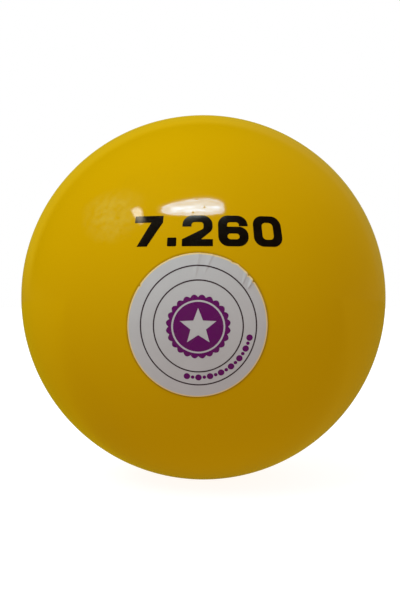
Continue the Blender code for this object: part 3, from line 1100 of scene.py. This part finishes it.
def band(high, low, columns=15):
    """The directions round a bowed band with round ends: along its lower edge, then back along its upper."""

    def edge(share, corners):
        weights = ((1 - share) * (1 - 2 * share), 4 * share * (1 - share), share * (2 * share - 1))
        return sum((Vector(corner) * weight for weight, corner in zip(weights, corners)), Vector((0, 0)))

    lower, upper = [], []
    for index in range(columns):
        share = (1 - math.cos(math.pi * (index + 0.5) / columns)) / 2
        spread = (1 - abs(2 * share - 1) ** END_ROUNDNESS) ** (1 / END_ROUNDNESS)
        middle = edge(share, high).lerp(edge(share, low), 0.5)
        lower.append(direction(*middle.lerp(edge(share, low), spread)))
        upper.append(direction(*middle.lerp(edge(share, high), spread)))
    return lower + upper[::-1]


def panel_mesh(name, panel):
    """A flat panel with its glow from ring to ring, from its outline in to its core."""
    outline, core = band(*panel["outline"]), band(*panel["core"])
    middle = sum(core, Vector()).normalized()
    bm = bmesh.new()
    layer = bm.verts.layers.float.new("glow")
    rings = []
    for share, glow in ((0, 0), *panel["glow"]):
        points = [first.lerp(second, share) for first, second in zip(outline, core)]
        ring = [bm.verts.new(point * PANEL_DISTANCE / point.dot(middle)) for point in points]
        for vertex in ring:
            vertex[layer] = glow
        rings.append(ring)
    bm.faces.new(rings[-1])
    for outer, inner in zip(rings, rings[1:]):
        for index in range(len(outer)):
            following = (index + 1) % len(outer)
            bm.faces.new((outer[index], outer[following], inner[following], inner[index]))
    return mesh_of(name, bm)


def panel_light(name, panel):
    """The light of a panel: its glow, mottled."""
    material, tree, shader, place = new_material(name)
    tree.nodes.remove(shader)
    glow = add_node(tree, "ShaderNodeAttribute", attribute_name="glow").outputs["Fac"]
    stretched = vector_maths(tree, "MULTIPLY", place, panel["mottle"])
    mottle = patches(tree, stretched, 1, 4, 0.65, spread=(0.35, 0.62), between=(panel["dark"], 1.0))
    power = maths(tree, "MULTIPLY", glow, mottle, panel["strength"])
    light = add_node(tree, "ShaderNodeEmission", {"Color": (*panel["colour"], 1), "Strength": power})
    feed(tree, tree.nodes["Material Output"], {"Surface": light.outputs[0]})
    return material


def make_panel(name, panel):
    """A panel that only shows in gloss."""
    piece = in_scene(name, panel_mesh(name, panel))
    piece.data.materials.append(panel_light(name, panel))
    piece.visible_camera = False
    piece.visible_diffuse = False
    piece.visible_shadow = False


def make_key():
    """The soft key lamp. It lights the ball and leaves no highlight."""
    data = bpy.data.lights.new("key", "SUN")
    data.energy = KEY_STRENGTH
    data.color = KEY_COLOUR
    data.angle = math.radians(KEY_ANGLE)
    key = in_scene("key", data)
    key.rotation_euler = direction(*KEY_PLACE).to_track_quat("Z", "Y").to_euler()
    key.visible_glossy = False


def make_metal_lamps(pieces):
    """Soft boxes for the plated plug and the washer alone, so that bare metal has a studio to mirror."""
    metal = bpy.data.collections.new("bare_metal")
    for piece in pieces:
        metal.objects.link(piece)
    for name, (place, size, power) in METAL_BOXES.items():
        data = bpy.data.lights.new(name, "AREA")
        data.shape = "RECTANGLE"
        data.size = size
        data.size_y = size * METAL_BOX_ASPECT
        data.energy = power
        lamp = in_scene(name, data)
        lamp.location = direction(*place) * METAL_BOX_DISTANCE
        lamp.rotation_euler = direction(*place).to_track_quat("Z", "Y").to_euler()
        lamp.visible_camera = False
        lamp.light_linking.receiver_collection = metal


def ray_kinds(tree):
    """Whether a ray is the camera's, and whether it comes off gloss or through something clear."""
    path = tree.nodes.new("ShaderNodeLightPath").outputs
    return path["Is Camera Ray"], maths(tree, "MAXIMUM", path["Is Glossy Ray"], path["Is Transmission Ray"])


def make_world():
    """White to the camera, an even room to matt surfaces, and a dim room to glossy and clear ones."""
    world = bpy.data.worlds.new("studio")
    bpy.context.scene.world = world
    world.use_nodes = True
    tree = world.node_tree
    tree.nodes.clear()
    way = axes_of(tree, tree.nodes.new("ShaderNodeTexCoord").outputs["Generated"])
    ceiling = giving_way(tree, way["X"], *MIRRORED_CEILING)
    wall = giving_way(tree, way["X"], *MIRRORED_WALL)
    upper = giving_way(tree, way["Y"], CEILING_TO_WALL, ceiling, wall)
    around = giving_way(tree, way["X"], *MIRRORED_ROOM)
    around = giving_way(tree, way["Z"], ROOM_TO_CEILING, around, upper)
    mirrored = giving_way(tree, way["Y"], FRONT_TO_ROOM, MIRRORED_FRONT, around)
    room = giving_way(tree, way["Z"], (0, 1), ROOM_LEVEL, ROOM_UP)
    from_camera, from_gloss = ray_kinds(tree)
    colour = mixed(tree, from_camera, mixed(tree, from_gloss, room, mirrored), (1, 1, 1))
    sky = add_node(tree, "ShaderNodeBackground", {"Color": colour})
    add_node(tree, "ShaderNodeOutputWorld", {"Surface": sky.outputs[0]})


def make_floor():
    """The pale floor under the ball. To the camera it is white with a faint shadow."""
    bm = bmesh.new()
    bmesh.ops.create_circle(bm, cap_ends=True, segments=96, radius=FLOOR_RADIUS)
    floor = in_scene("floor", mesh_of("floor", bm))
    floor.location.z = -BALL_RADIUS
    material, tree, shader, place = new_material("floor")
    tree.nodes.remove(shader)
    from_camera, from_gloss = ray_kinds(tree)
    axes = axes_of(tree, place)
    mirrored = giving_way(tree, axes["X"], *MIRRORED_FLOOR)
    mirrored = giving_way(tree, axes["Y"], FRONT_TO_FLOOR, MIRRORED_FRONT, mirrored)
    bright = tuple(channel * BOUNCE for channel in ROOM_DOWN)
    glow = giving_way(tree, vector_maths(tree, "LENGTH", place), (BOUNCE_REACH, 0.0), ROOM_DOWN, bright)
    glow = mixed(tree, from_camera, mixed(tree, from_gloss, glow, mirrored), FLOOR_WHITE)
    light = add_node(tree, "ShaderNodeEmission", {"Color": glow}).outputs[0]
    matt = add_node(tree, "ShaderNodeBsdfDiffuse", {"Color": FLOOR_MATT}).outputs[0]
    both = add_node(tree, "ShaderNodeAddShader", {0: light, 1: matt}).outputs[0]
    choice = add_node(tree, "ShaderNodeMixShader", {0: from_camera, 1: light, 2: both})
    feed(tree, tree.nodes["Material Output"], {"Surface": choice.outputs[0]})
    floor.data.materials.append(material)


make_camera()
yellow = enamel()
plate = turned_metal("zinc_plate", ZINC, rough=0.30, groove=0.00012)
copper = turned_metal("copper", COPPER, rough=0.34, groove=0.0002)
lead = dull_lead()
make_shell(yellow, cast_iron())
plug = make_plug(plate)
make_plug_paint(yellow)
washer = make_washer(copper)
make_core(lead)
make_pellets(lead)
make_wad(felt())
# The second material is the cut edge's cream: the yellow seen through it, and a painted highlight
make_label(vinyl("white_vinyl", VINYL), vinyl("cut_edge_highlight", EDGE_TINT_AND_HIGHLIGHT))
make_label_print(
    ink("purple_print", PURPLE, rough=0.25, grain=0.000006),
    ink("ring_print", RING_GREY, rough=0.45, grain=0.000006),
)
make_mark(ink("black_print", BLACK, rough=0.13, grain=0.000010))
make_world()
make_floor()
make_key()
for name, panel in PANELS.items():
    make_panel(name, panel)
make_metal_lamps([plug, washer])

bpy.context.scene.view_settings.view_transform = "Standard"
